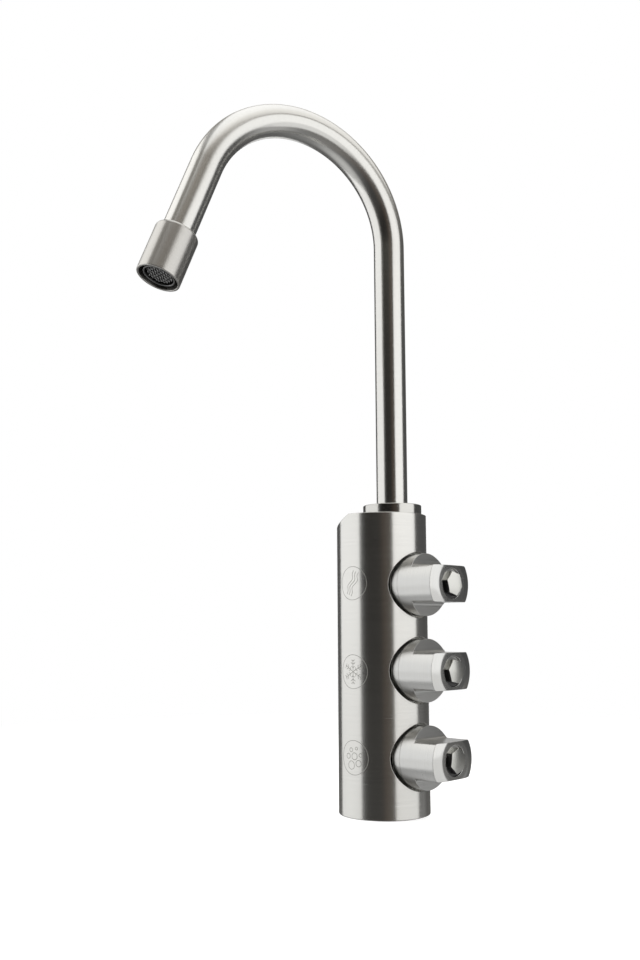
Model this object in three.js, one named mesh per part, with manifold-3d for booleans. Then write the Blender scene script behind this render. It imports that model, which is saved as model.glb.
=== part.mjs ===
// Three way filtered water tap: a brushed column with three quarter-turn handles on one side
// and a swivelling gooseneck spout on top.
//
// Millimetres, +Z up. The origin is the centre of the column's underside. The etched marks face
// -Y and the handles point along +X.

import * as THREE from 'three';
import { mergeVertices } from 'three/addons/utils/BufferGeometryUtils.js';
import Module from 'manifold-3d';

const wasm = await Module();
wasm.setup();

// ---------------------------------------------------------------- driving dimensions

const SEAT_GAP = 0.3; // along an axis, between a piece and what it rests on
const FIT_GAP = 0.25; // around a piece, in the bore that holds it
const CUT_OVERRUN = 1; // how far a cutter reaches past the face that it opens

// column
const COLUMN_DIAMETER = 40;
const COLUMN_EDGE = 0.5;
const BEVEL_AZIMUTH = -70; // degrees from the front, negative towards -X
const BEVEL_START = 8.6; // from the column's axis to the upper edge of the slanted cut
const BEVEL_SLOPE = 28.8; // degrees below level

// spout seat in the column's top
const RISER_X = 5.45;
const WATERWAY_Y = 1.2; // the plane that holds the riser, the outlet channel and the valves
const SEAT_DEPTH = 15.5;
const SEAT_WALL = 1.6; // from the upper handle's recess up to the seat's floor
const SEAT_DIAMETER = 18;
const THREAD_DEPTH = 6;
const THREAD_DIAMETER = 20.6;
const OUTLET_CHANNEL_DIAMETER = 5.6;

// collar and swivel
const COLLAR_DIAMETER = 26;
const COLLAR_HEIGHT = 4.4;
const COLLAR_EDGE = 0.4;
const FOOT_GROOVE_DEPTH = 1.6;
const FOOT_GROOVE_WIDTH = 1.9;
const FOOT_SPIGOT_LENGTH = 5;
const FOOT_BODY_HEIGHT = 6;
const FOOT_BORE = 8;

// spout
const TUBE_DIAMETER = 13.8;
const TUBE_WALL = 1.5;
const RISER_LENGTH = 123.1; // from the column's top up to the bend
const BEND_RADIUS = 47.6;
const BEND_ANGLE = 158.2; // degrees
const END_LEG_LENGTH = 39.4;
const SPOUT_TURN = -14.8; // degrees about +Z, as the spout stands at rest

// aerator
const SHELL_DIAMETER = 18.4;
const SHELL_LENGTH = 22;
const SHELL_OVERLAP = 5.8; // how far the shell reaches back over the tube
const SHELL_SHOULDER = 1.5;
const SHELL_LIP = 0.4;
const SHELL_WEB = 2.4;
const SHELL_BORE = 16.4;
const WASHER_THICKNESS = 1;
const CAGE_DIAMETER = 13.6;
const CAGE_WALL = 0.7;
const CAGE_RECESS = 0.8; // from the shell's rim back to the cage's rim
const CAGE_FLANGE_HEIGHT = 1.9;
const CAGE_FLOOR = 1;
const MIXER_HEIGHT = 5;
const MIXER_RIM = 1.1;
const MIXER_SLOT = 0.9;
const SCREEN_THICKNESS = 0.4;
const SCREEN_RECESS = 0.8; // from the cage's rim back to the screen
const SCREEN_HOLE = 1.2;
const SCREEN_PITCH = 1.9;
const SCREEN_RINGS = 2;

// handles, measured outwards from the column's axis along +X
const HANDLE_NAMES = ['lower', 'middle', 'upper'];
const FIRST_HANDLE_HEIGHT = 25.5;
const HANDLE_PITCH = 36.7;
const RECESS_DIAMETER = 28.4;
const RECESS_FLOOR_X = 12.8;
const KNOB_DIAMETER = 27;
const KNOB_BACK_X = 14.4;
const KNOB_BACK_DIAMETER = 21.2;
const KNOB_BACK_EDGE = 0.7;
const KNOB_CONE_END_X = 20.4;
const KNOB_STEP_X = 24.5;
const KNOB_RIM_X = 36.3;
const KNOB_CROWN = 1.4;
const KNOB_CROWN_WIDTH = 4.6;
const GRIP_HEIGHT = 15.5;
const GRIP_FILLET = 1.6;
const KNOB_CAVITY_DIAMETER = 18.4;
const KNOB_SOCKET_LENGTH = 7;

// hexagon screw on the knob's end
const SCREW_FLATS = 9.2;
const SCREW_HEAD_HEIGHT = 2.9;
const SCREW_HEAD_RECESS = 1.1;
const SCREW_HEAD_CROWN = 0.5;
const SCREW_SHANK_DIAMETER = 3;
const SCREW_SHANK_LENGTH = 11;

// valve
const VALVE_BORE_DIAMETER = 16;
const VALVE_BORE_FLOOR_X = -5.5;
const DISC_SEAL_THICKNESS = 1.3;
const FIXED_DISC_THICKNESS = 1.8;
const MOVING_DISC_THICKNESS = 1.6;
const DISC_DIAMETER = 13;
const DISC_WINDOW_RADIUS = 5;
const DISC_WINDOW_INNER = 1.8;
const DISC_WINDOW_ANGLE = 80; // degrees
const CAGE_SLEEVE_WALL = 1;
const WAIST_DIAMETER = 12.4;
const WAIST_WINDOW_WIDTH = 5;
const WAIST_WINDOW_LENGTH = 4;
const WAIST_MARGIN = 0.2; // the waist beyond the outlet channel, at each side
const STEM_CHAMBER_DIAMETER = 9.6;
const SPINDLE_DIAMETER = 6.2;
const SPINDLE_FLANGE = 1.6;
const DRIVER_WIDTH = 2.4;
const DRIVER_HEIGHT = 0.9;
const DRIVER_SPAN = 9;
const SPINDLE_FLAT_DEPTH = 0.8;
const STEM_RING_DIAMETER = 1.2;
const STEM_RING_X = 10.5;
const HEX_FLATS = 15;
const HEX_HEIGHT = 3.6;
const HEX_SEAL_THICKNESS = 1;
const HEX_SEAL_WIDTH = 2;
const NECK_DIAMETER = 8.8;
const NECK_LENGTH = 2;
const CLIP_THICKNESS = 0.8;
const CLIP_DIAMETER = 9;
const CLIP_OPENING = 3;
const CLIP_GROOVE_DEPTH = 0.6;

// underside
const PORT_DIAMETER = 7;
const PORT_DEPTH = 10;
const INLET_CHANNEL_DIAMETER = 4.2;
const SIDE_INLET_X = -9.5;
const SIDE_INLET_SPREAD = 7.6;
const MIDDLE_INLET_X = -11.7;
const CROSS_CHANNEL_DIAMETER = 6;
const STUD_HOLE_X = 7.5;
const STUD_HOLE_DIAMETER = 8;
const STUD_HOLE_DEPTH = 12;
const SEAL_GROOVE_INNER = 34.4;
const SEAL_GROOVE_OUTER = 37.6;
const SEAL_GROOVE_DEPTH = 1.4;

// facets
const COLUMN_SIDES = 48;
const KNOB_SIDES = 24;
const TUBE_SIDES = 18;
const BEND_STEPS = 18;
const BORE_SIDES = 16;
const SMALL_SIDES = 12;
const CHANNEL_SIDES = 10;
const RING_SECTION_SIDES = 6;

// ---------------------------------------------------------------- derived places

const handleHeights = HANDLE_NAMES.map((_, index) => FIRST_HANDLE_HEIGHT + index * HANDLE_PITCH);
const seatFloorZ = handleHeights.at(-1) + RECESS_DIAMETER / 2 + SEAT_WALL;
const columnHeight = seatFloorZ + SEAT_DEPTH;
const bendStartZ = columnHeight + RISER_LENGTH;
const threadFloorZ = columnHeight - THREAD_DEPTH;
const footBottomZ = seatFloorZ + SEAT_GAP;
const footTopZ = footBottomZ + FOOT_BODY_HEIGHT;
const tubeBottomZ = footTopZ + SEAT_GAP;
const collarBottomZ = threadFloorZ + SEAT_GAP;
const tubeBore = TUBE_DIAMETER - 2 * TUBE_WALL;
const tubeHole = TUBE_DIAMETER + 2 * FIT_GAP;

// the valve's stack, from the bore's floor outwards
const discSealX = VALVE_BORE_FLOOR_X + SEAT_GAP / 2;
const fixedDiscX = discSealX + DISC_SEAL_THICKNESS + SEAT_GAP / 2;
const movingDiscX = fixedDiscX + FIXED_DISC_THICKNESS + SEAT_GAP / 2;
const spindleFlangeX = movingDiscX + MOVING_DISC_THICKNESS + SEAT_GAP;
const stemChamberX = spindleFlangeX + SPINDLE_FLANGE + SEAT_GAP;
const waistStartX = RISER_X - OUTLET_CHANNEL_DIAMETER / 2 - WAIST_MARGIN;
const waistEndX = RISER_X + OUTLET_CHANNEL_DIAMETER / 2 + WAIST_MARGIN;
const hexSealX = RECESS_FLOOR_X + SEAT_GAP / 2;
const hexX = hexSealX + HEX_SEAL_THICKNESS + SEAT_GAP / 2;
const neckX = hexX + HEX_HEIGHT;
const neckEndX = neckX + NECK_LENGTH;
const clipX = neckEndX + SEAT_GAP;
const socketX = clipX + CLIP_THICKNESS + SEAT_GAP;
const socketEndX = socketX + KNOB_SOCKET_LENGTH;
const spindleFlatZ = SPINDLE_DIAMETER / 2 - SPINDLE_FLAT_DEPTH;
const screwSeatX = KNOB_RIM_X + KNOB_CROWN - SCREW_HEAD_RECESS;

// ---------------------------------------------------------------- materials

const finish = (color, roughness, metalness) => () =>
  new THREE.MeshStandardMaterial({ color, roughness, metalness });
const brushedSteel = finish(0xb9b8b3, 0.34, 1);
const polishedSteel = finish(0xc4c4c0, 0.2, 1);
const screenSteel = finish(0x6f6f6c, 0.45, 1);
const brass = finish(0xb08d4a, 0.4, 1);
const rubber = finish(0x161616, 0.8, 0);
const whitePlastic = finish(0xe6e4dc, 0.5, 0);
const blackPlastic = finish(0x2a2a2a, 0.5, 0);
const ceramic = finish(0xf0eee8, 0.25, 0);

// ---------------------------------------------------------------- solids

// Welds a closed geometry by position, drops its empty triangles and turns its faces outwards.
function solid(geometry) {
  geometry.deleteAttribute('normal');
  geometry.deleteAttribute('uv');
  const welded = mergeVertices(geometry, 1e-4);
  const places = welded.attributes.position;
  const points = [0, 1, 2].map(() => new THREE.Vector3());
  const triangles = [];
  let volume = 0;
  for (let start = 0; start < welded.index.count; start += 3) {
    const triangle = [0, 1, 2].map((step) => welded.index.getX(start + step));
    if (new Set(triangle).size < 3) continue;
    triangles.push(triangle);
    points.forEach((point, step) => point.fromBufferAttribute(places, triangle[step]));
    volume += points[0].dot(points[1].clone().cross(points[2]));
  }
  const outward = volume > 0 ? triangles : triangles.map(([a, b, c]) => [a, c, b]);
  return new wasm.Manifold(new wasm.Mesh({
    numProp: 3,
    vertProperties: new Float32Array(places.array),
    triVerts: new Uint32Array(outward.flat()),
  }));
}

const join = (first, ...others) => others.reduce((whole, other) => whole.add(other), first);
const cut = (first, ...cutters) => cutters.reduce((whole, cutter) => whole.subtract(cutter), first);

function piece(name, body, material) {
  const result = body.getMesh();
  const geometry = new THREE.BufferGeometry();
  geometry.setAttribute('position', new THREE.BufferAttribute(new Float32Array(result.vertProperties), 3));
  geometry.setIndex(new THREE.BufferAttribute(new Uint32Array(result.triVerts), 1));
  geometry.computeVertexNormals();
  const mesh = new THREE.Mesh(geometry, material());
  mesh.name = name;
  return mesh;
}

// A turned geometry about +Y, from [distance along the axis, radius] corners.
const lathe = (profile, sides) =>
  new THREE.LatheGeometry(profile.map(([along, radius]) => new THREE.Vector2(radius, along)), sides);
const turnedZ = (profile, sides) => lathe(profile, sides).rotateX(Math.PI / 2);
const turnedX = (profile, sides) => lathe(profile, sides).rotateZ(-Math.PI / 2);

// The corners of a plain rod, and those of a ring with a rectangular section.
const rod = (start, end, radius) => [[start, 0], [start, radius], [end, radius], [end, 0]];
const ring = (start, end, inner, outer) =>
  [[start, inner], [start, outer], [end, outer], [end, inner], [start, inner]];

const rodZ = (start, end, diameter, sides = BORE_SIDES) => turnedZ(rod(start, end, diameter / 2), sides);
const rodX = (start, end, diameter, sides = BORE_SIDES) => turnedX(rod(start, end, diameter / 2), sides);

// A round ring, such as an o-ring, about +Z at a height.
const roundRing = (height, middleRadius, thickness) =>
  new THREE.TorusGeometry(middleRadius, thickness / 2, RING_SECTION_SIDES, BORE_SIDES).translate(0, 0, height);

// The corners of a regular polygon in a shape's plane.
const corners = (radius, sides, x = 0, y = 0) => Array.from({ length: sides }, (_, index) => {
  const angle = (index / sides) * 2 * Math.PI;
  return new THREE.Vector2(x + radius * Math.cos(angle), y + radius * Math.sin(angle));
});

// An outline in the X-Z plane, swept evenly to both sides of Y = 0.
function plateY(shape, width) {
  const plate = new THREE.ExtrudeGeometry(shape, { depth: width, bevelEnabled: false, curveSegments: 6 });
  return plate.rotateX(Math.PI / 2).translate(0, width / 2, 0);
}

// ---------------------------------------------------------------- column

function bevelCutter() {
  const reach = COLUMN_DIAMETER;
  const slope = THREE.MathUtils.degToRad(BEVEL_SLOPE);
  const cutter = new THREE.BoxGeometry(reach, reach * 2, reach);
  cutter.translate(reach / 2, 0, reach / 2);
  cutter.rotateY(slope);
  cutter.translate(BEVEL_START, 0, columnHeight);
  return cutter.rotateZ(THREE.MathUtils.degToRad(BEVEL_AZIMUTH - 90));
}

function valveCutters(height, index) {
  const place = (geometry) => solid(geometry.translate(0, WATERWAY_Y, height));
  const [inletX, inletY] = inletPlaces()[index];
  const cross = new THREE.CylinderGeometry(
    INLET_CHANNEL_DIAMETER / 2, INLET_CHANNEL_DIAMETER / 2, Math.abs(inletY - WATERWAY_Y), CHANNEL_SIDES);
  const cutters = [
    place(rodX(RECESS_FLOOR_X, COLUMN_DIAMETER, RECESS_DIAMETER, KNOB_SIDES)),
    place(rodX(VALVE_BORE_FLOOR_X, RECESS_FLOOR_X + CUT_OVERRUN, VALVE_BORE_DIAMETER)),
    place(rodX(inletX, VALVE_BORE_FLOOR_X + CUT_OVERRUN, CROSS_CHANNEL_DIAMETER, CHANNEL_SIDES)),
    solid(rodZ(-CUT_OVERRUN, height, INLET_CHANNEL_DIAMETER, CHANNEL_SIDES).translate(inletX, inletY, 0)),
    solid(rodZ(-CUT_OVERRUN, PORT_DEPTH, PORT_DIAMETER, SMALL_SIDES).translate(inletX, inletY, 0)),
  ];
  if (inletY !== WATERWAY_Y) cutters.push(solid(cross.translate(inletX, (inletY + WATERWAY_Y) / 2, height)));
  return cutters;
}

// The inlets of the lower, middle and upper valve.
function inletPlaces() {
  return [
    [MIDDLE_INLET_X, WATERWAY_Y],
    [SIDE_INLET_X, WATERWAY_Y - SIDE_INLET_SPREAD],
    [SIDE_INLET_X, WATERWAY_Y + SIDE_INLET_SPREAD],
  ];
}

function column() {
  const radius = COLUMN_DIAMETER / 2;
  const bar = solid(turnedZ([
    [0, 0],
    [0, radius - COLUMN_EDGE],
    [COLUMN_EDGE, radius],
    [columnHeight - COLUMN_EDGE, radius],
    [columnHeight, radius - COLUMN_EDGE],
    [columnHeight, 0],
  ], COLUMN_SIDES));
  const atRiser = (geometry) => solid(geometry.translate(RISER_X, WATERWAY_Y, 0));
  return cut(
    bar,
    solid(bevelCutter()),
    ...handleHeights.flatMap(valveCutters),
    atRiser(rodZ(threadFloorZ, columnHeight + CUT_OVERRUN, THREAD_DIAMETER, KNOB_SIDES)),
    atRiser(rodZ(seatFloorZ, columnHeight, SEAT_DIAMETER, KNOB_SIDES)),
    atRiser(rodZ(FIRST_HANDLE_HEIGHT, seatFloorZ + CUT_OVERRUN, OUTLET_CHANNEL_DIAMETER, CHANNEL_SIDES)),
    solid(rodZ(-CUT_OVERRUN, STUD_HOLE_DEPTH, STUD_HOLE_DIAMETER, SMALL_SIDES).translate(STUD_HOLE_X, 0, 0)),
    solid(turnedZ(
      ring(-CUT_OVERRUN, SEAL_GROOVE_DEPTH, SEAL_GROOVE_INNER / 2, SEAL_GROOVE_OUTER / 2), KNOB_SIDES)),
  );
}

function baseSeal() {
  return solid(turnedZ(ring(
    SEAT_GAP,
    SEAL_GROOVE_DEPTH - SEAT_GAP / 2,
    SEAL_GROOVE_INNER / 2 + FIT_GAP,
    SEAL_GROOVE_OUTER / 2 - FIT_GAP,
  ), KNOB_SIDES));
}

// The ring rests on the column's top, with its threaded skirt in the seat.
function spoutCollar() {
  const hole = tubeHole / 2;
  const skirt = THREAD_DIAMETER / 2 - FIT_GAP;
  const outer = COLLAR_DIAMETER / 2;
  const top = columnHeight + COLLAR_HEIGHT;
  return solid(turnedZ([
    [collarBottomZ, hole],
    [collarBottomZ, skirt],
    [columnHeight, skirt],
    [columnHeight, outer],
    [top - COLLAR_EDGE, outer],
    [top, outer - COLLAR_EDGE],
    [top, hole],
    [collarBottomZ, hole],
  ], KNOB_SIDES));
}

const swivelBush = () =>
  solid(turnedZ(ring(tubeBottomZ, threadFloorZ, tubeHole / 2, SEAT_DIAMETER / 2 - FIT_GAP), BORE_SIDES));

// ---------------------------------------------------------------- spout

// The tube's centre line: up the riser, round the bend and down the end leg, in the Y-Z plane
// with the outlet towards -Y. Its stations are close together in the bend only.
class SpoutLine extends THREE.Curve {
  getPoint(share) {
    return this.station(share).point;
  }

  getTangent(share) {
    return this.station(share).tangent;
  }

  getUtoTmapping(share) {
    return share;
  }

  station(share) {
    const step = share * (BEND_STEPS + 2);
    const bend = THREE.MathUtils.degToRad(BEND_ANGLE);
    const turn = THREE.MathUtils.clamp((step - 1) / BEND_STEPS, 0, 1) * bend;
    const tangent = new THREE.Vector3(0, -Math.sin(turn), Math.cos(turn));
    const point = new THREE.Vector3(
      0,
      -BEND_RADIUS * (1 - Math.cos(turn)),
      bendStartZ + BEND_RADIUS * Math.sin(turn),
    );
    if (step < 1) point.z -= (1 - step) * (bendStartZ - tubeBottomZ);
    const past = step - 1 - BEND_STEPS;
    if (past > 0) point.addScaledVector(tangent, past * END_LEG_LENGTH);
    return { point, tangent };
  }
}

function spoutTube() {
  const section = new THREE.Shape().absarc(0, 0, TUBE_DIAMETER / 2, 0, 2 * Math.PI);
  section.holes.push(new THREE.Path().absarc(0, 0, tubeBore / 2, 0, 2 * Math.PI, true));
  return solid(new THREE.ExtrudeGeometry(section, {
    steps: BEND_STEPS + 2,
    curveSegments: TUBE_SIDES / 2,
    extrudePath: new SpoutLine(),
  }));
}

const footGrooveHeights = () => {
  const spacing = FOOT_BODY_HEIGHT / 2;
  return [0.5, 1.5].map((share) => footBottomZ + share * spacing);
};

function spoutFoot() {
  const outer = SEAT_DIAMETER / 2 - FIT_GAP;
  const groove = outer - FOOT_GROOVE_DEPTH;
  const spigot = tubeBore / 2 - FIT_GAP;
  const grooves = footGrooveHeights().flatMap((height) => [
    [height - FOOT_GROOVE_WIDTH / 2, outer],
    [height - FOOT_GROOVE_WIDTH / 2, groove],
    [height + FOOT_GROOVE_WIDTH / 2, groove],
    [height + FOOT_GROOVE_WIDTH / 2, outer],
  ]);
  return solid(turnedZ([
    [footBottomZ, FOOT_BORE / 2],
    [footBottomZ, outer],
    ...grooves,
    [footTopZ, outer],
    [footTopZ, spigot],
    [footTopZ + FOOT_SPIGOT_LENGTH, spigot],
    [footTopZ + FOOT_SPIGOT_LENGTH, FOOT_BORE / 2],
    [footBottomZ, FOOT_BORE / 2],
  ], BORE_SIDES));
}

function footRing(height) {
  const thickness = FOOT_GROOVE_WIDTH - SEAT_GAP;
  const middle = SEAT_DIAMETER / 2 - FIT_GAP / 2 - thickness / 2;
  return solid(roundRing(height, middle, thickness));
}

// ---------------------------------------------------------------- aerator, along +Z from the tube's end

const shellTop = -SHELL_OVERLAP;
const shellRim = shellTop + SHELL_LENGTH;
const webEnd = SEAT_GAP + SHELL_WEB;
const washerTop = webEnd + SEAT_GAP / 2;
const cageTop = washerTop + WASHER_THICKNESS + SEAT_GAP / 2;
const cageRim = shellRim - CAGE_RECESS;
const cageInner = CAGE_DIAMETER / 2 - CAGE_WALL;
const mixerTop = cageTop + CAGE_FLOOR + SEAT_GAP;
const screenEnd = cageRim - SCREEN_RECESS;

function aeratorShell() {
  const outer = SHELL_DIAMETER / 2;
  const overTube = tubeHole / 2;
  const waterway = tubeBore / 2;
  const bore = SHELL_BORE / 2;
  return solid(turnedZ([
    [shellTop, overTube],
    [shellTop, outer - SHELL_SHOULDER / 2],
    [shellTop + SHELL_SHOULDER / 4, outer - SHELL_SHOULDER / 4],
    [shellTop + SHELL_SHOULDER, outer],
    [shellRim - SHELL_LIP, outer],
    [shellRim, outer - SHELL_LIP],
    [shellRim, bore + SHELL_LIP / 2],
    [shellRim - SHELL_LIP / 2, bore],
    [webEnd, bore],
    [webEnd, waterway],
    [SEAT_GAP, waterway],
    [SEAT_GAP, overTube],
    [shellTop, overTube],
  ], TUBE_SIDES));
}

const aeratorWasher = () =>
  solid(turnedZ(ring(washerTop, washerTop + WASHER_THICKNESS, tubeBore / 2, SHELL_BORE / 2 - FIT_GAP), BORE_SIDES));

function aeratorCage() {
  const outer = CAGE_DIAMETER / 2;
  const flange = SHELL_BORE / 2 - FIT_GAP;
  const throat = cageInner / 2;
  return solid(turnedZ([
    [cageTop, throat],
    [cageTop, flange],
    [cageTop + CAGE_FLANGE_HEIGHT, flange],
    [cageTop + CAGE_FLANGE_HEIGHT, outer],
    [cageRim, outer],
    [cageRim, cageInner],
    [cageTop + CAGE_FLOOR, cageInner],
    [cageTop + CAGE_FLOOR, throat],
    [cageTop, throat],
  ], BORE_SIDES));
}

function aeratorMixer() {
  const radius = cageInner - FIT_GAP;
  const length = radius - 2 * MIXER_RIM;
  const slots = [0, 1, 2, 3, 4, 5].map((index) => solid(
    new THREE.BoxGeometry(length, MIXER_SLOT, 3 * MIXER_HEIGHT)
      .translate(MIXER_RIM + length / 2, 0, mixerTop)
      .rotateZ((index * Math.PI) / 3),
  ));
  return cut(solid(rodZ(mixerTop, mixerTop + MIXER_HEIGHT, 2 * radius, SMALL_SIDES)), ...slots);
}

// Square holes on a square grid that stands at 45 degrees, without the grid's corners.
function aeratorScreen() {
  const plate = new THREE.Shape(corners(cageInner - FIT_GAP, BORE_SIDES));
  const step = SCREEN_PITCH / Math.SQRT2;
  for (let column = -SCREEN_RINGS; column <= SCREEN_RINGS; column += 1) {
    for (let row = -SCREEN_RINGS; row <= SCREEN_RINGS; row += 1) {
      if (Math.abs(column) + Math.abs(row) === 2 * SCREEN_RINGS) continue;
      const hole = corners(SCREEN_HOLE / Math.SQRT2, 4, (column - row) * step, (column + row) * step);
      plate.holes.push(new THREE.Path(hole));
    }
  }
  const sheet = new THREE.ExtrudeGeometry(plate, { depth: SCREEN_THICKNESS, bevelEnabled: false });
  return solid(sheet.translate(0, 0, screenEnd - SCREEN_THICKNESS));
}

// ---------------------------------------------------------------- handles, along +X from the column's axis

// What is milled off above the grip, a flat with a filleted root, or the same below it.
function gripCutter(side) {
  const half = GRIP_HEIGHT / 2;
  const far = KNOB_RIM_X + KNOB_CROWN + CUT_OVERRUN;
  const shape = new THREE.Shape();
  shape.moveTo(KNOB_STEP_X, KNOB_DIAMETER);
  shape.lineTo(KNOB_STEP_X, half + GRIP_FILLET);
  shape.absarc(KNOB_STEP_X + GRIP_FILLET, half + GRIP_FILLET, GRIP_FILLET, Math.PI, 1.5 * Math.PI, false);
  shape.lineTo(far, half);
  shape.lineTo(far, KNOB_DIAMETER);
  return solid(plateY(shape, 2 * KNOB_DIAMETER).scale(1, 1, side));
}

// The crowned end, from its flat middle out to the sharp rim.
const crownCorners = () => {
  const radius = KNOB_DIAMETER / 2;
  return [0.35, 0.7, 1].map((share) => [
    KNOB_RIM_X + KNOB_CROWN * (1 - share ** 1.5),
    radius - KNOB_CROWN_WIDTH * (1 - share),
  ]);
};

function knob() {
  const radius = KNOB_DIAMETER / 2;
  const back = KNOB_BACK_DIAMETER / 2;
  const cavity = KNOB_CAVITY_DIAMETER / 2;
  const face = KNOB_RIM_X + KNOB_CROWN;
  const clipRoom = CLIP_DIAMETER / 2 + FIT_GAP;
  const socket = SPINDLE_DIAMETER / 2 + FIT_GAP;
  const shankHole = SCREW_SHANK_DIAMETER / 2 + FIT_GAP;
  const headHole = SCREW_FLATS / Math.sqrt(3) + FIT_GAP;
  const blank = solid(turnedX([
    [KNOB_BACK_X, cavity],
    [KNOB_BACK_X, back - KNOB_BACK_EDGE],
    [KNOB_BACK_X + KNOB_BACK_EDGE, back],
    [KNOB_CONE_END_X, radius],
    ...crownCorners().reverse(),
    [face, radius - KNOB_CROWN_WIDTH],
    [face, headHole],
    [screwSeatX, headHole],
    [screwSeatX, shankHole],
    [socketEndX, shankHole],
    [socketEndX, socket],
    [socketX, socket],
    [socketX, clipRoom],
    [neckX + SEAT_GAP, clipRoom],
    [neckX + SEAT_GAP, cavity],
    [KNOB_BACK_X, cavity],
  ], KNOB_SIDES));
  const key = new THREE.BoxGeometry(KNOB_SOCKET_LENGTH, SPINDLE_DIAMETER, SPINDLE_DIAMETER / 2);
  key.translate(socketX + KNOB_SOCKET_LENGTH / 2, 0, spindleFlatZ + FIT_GAP + SPINDLE_DIAMETER / 4);
  return cut(join(blank, solid(key)), gripCutter(1), gripCutter(-1));
}

function knobScrew() {
  const corner = SCREW_FLATS / Math.sqrt(3);
  const start = screwSeatX + SEAT_GAP / 2;
  const end = start + SCREW_HEAD_HEIGHT;
  const head = solid(rodX(start, end, 2 * corner, 6));
  const crown = solid(turnedX([
    [start - CUT_OVERRUN, 0],
    [start - CUT_OVERRUN, corner + CUT_OVERRUN],
    [end - SCREW_HEAD_CROWN, corner],
    [end - SCREW_HEAD_CROWN / 4, SCREW_FLATS / 2 - SCREW_HEAD_CROWN],
    [end, 0],
  ], BORE_SIDES));
  const shank = solid(rodX(start - SCREW_SHANK_LENGTH, start + SCREW_HEAD_CROWN, SCREW_SHANK_DIAMETER, SMALL_SIDES));
  return join(head.intersect(crown), shank);
}

function spindle() {
  const radius = SPINDLE_DIAMETER / 2;
  const flange = DISC_DIAMETER / 2;
  const grooveRadius = radius - STEM_RING_DIAMETER;
  const grooveHalf = STEM_RING_DIAMETER / 2 + SEAT_GAP / 2;
  const clipRadius = radius - CLIP_GROOVE_DEPTH;
  const clipEnd = clipX + CLIP_THICKNESS;
  const slack = SEAT_GAP / 4;
  const end = socketEndX - SEAT_GAP;
  const stem = solid(turnedX([
    [spindleFlangeX, 0],
    [spindleFlangeX, flange],
    [spindleFlangeX + SPINDLE_FLANGE, flange],
    [spindleFlangeX + SPINDLE_FLANGE, radius],
    [STEM_RING_X - grooveHalf, radius],
    [STEM_RING_X - grooveHalf, grooveRadius],
    [STEM_RING_X + grooveHalf, grooveRadius],
    [STEM_RING_X + grooveHalf, radius],
    [clipX - slack, radius],
    [clipX - slack, clipRadius],
    [clipEnd + slack, clipRadius],
    [clipEnd + slack, radius],
    [end, radius],
    [end, 0],
  ], SMALL_SIDES));
  const driver = new THREE.BoxGeometry(
    DRIVER_HEIGHT + SEAT_GAP + SPINDLE_FLANGE / 2, DRIVER_WIDTH, DRIVER_SPAN);
  driver.translate(spindleFlangeX + (SPINDLE_FLANGE / 2 - DRIVER_HEIGHT - SEAT_GAP) / 2, 0, 0);
  const flat = new THREE.BoxGeometry(KNOB_SOCKET_LENGTH * 2, SPINDLE_DIAMETER, SPINDLE_FLAT_DEPTH * 2);
  flat.translate(socketX + KNOB_SOCKET_LENGTH - SEAT_GAP / 2, 0, spindleFlatZ + SPINDLE_FLAT_DEPTH);
  const screwHole = rodX(screwSeatX - SCREW_SHANK_LENGTH - CUT_OVERRUN, end + CUT_OVERRUN,
    SCREW_SHANK_DIAMETER + 2 * FIT_GAP, SMALL_SIDES);
  return cut(join(stem, solid(driver)), solid(flat), solid(screwHole));
}

function spindleClip() {
  const inner = SPINDLE_DIAMETER / 2 - CLIP_GROOVE_DEPTH + FIT_GAP / 2;
  const band = solid(turnedX(ring(clipX, clipX + CLIP_THICKNESS, inner, CLIP_DIAMETER / 2), SMALL_SIDES));
  const mouth = new THREE.BoxGeometry(CLIP_THICKNESS * 4, CLIP_OPENING, CLIP_DIAMETER);
  return cut(band, solid(mouth.translate(clipX, 0, -CLIP_DIAMETER / 2)));
}

function stemRing() {
  const middle = SPINDLE_DIAMETER / 2 + FIT_GAP / 2 - STEM_RING_DIAMETER / 2;
  const section = roundRing(0, middle, STEM_RING_DIAMETER).rotateY(Math.PI / 2);
  return solid(section.translate(STEM_RING_X, 0, 0));
}

function cartridge() {
  const sleeve = VALVE_BORE_DIAMETER / 2 - FIT_GAP;
  const discRoom = sleeve - CAGE_SLEEVE_WALL;
  const waist = WAIST_DIAMETER / 2;
  const chamber = STEM_CHAMBER_DIAMETER / 2;
  const chamberEnd = waistEndX + CUT_OVERRUN;
  const stemHole = SPINDLE_DIAMETER / 2 + FIT_GAP;
  const neck = NECK_DIAMETER / 2;
  const barrel = solid(turnedX([
    [fixedDiscX, discRoom],
    [fixedDiscX, sleeve],
    [waistStartX, sleeve],
    [waistStartX, waist],
    [waistEndX, waist],
    [waistEndX, sleeve],
    [hexX + HEX_HEIGHT / 2, sleeve],
    [hexX + HEX_HEIGHT / 2, neck],
    [neckEndX, neck],
    [neckEndX, stemHole],
    [chamberEnd, stemHole],
    [chamberEnd, chamber],
    [stemChamberX, chamber],
    [stemChamberX, discRoom],
    [fixedDiscX, discRoom],
  ], BORE_SIDES));
  const hexagon = cut(
    solid(rodX(hexX, neckX, HEX_FLATS * 2 / Math.sqrt(3), 6)),
    solid(rodX(hexX - CUT_OVERRUN, neckX + CUT_OVERRUN, NECK_DIAMETER - CAGE_SLEEVE_WALL)),
  );
  const window = new THREE.BoxGeometry(WAIST_WINDOW_LENGTH, WAIST_WINDOW_WIDTH, WAIST_DIAMETER * 2);
  return cut(join(barrel, hexagon), solid(window.translate(RISER_X, 0, 0)));
}

const cartridgeSeal = () => {
  const inner = VALVE_BORE_DIAMETER / 2 + FIT_GAP;
  return solid(turnedX(ring(hexSealX, hexSealX + HEX_SEAL_THICKNESS, inner, inner + HEX_SEAL_WIDTH), BORE_SIDES));
};

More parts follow.
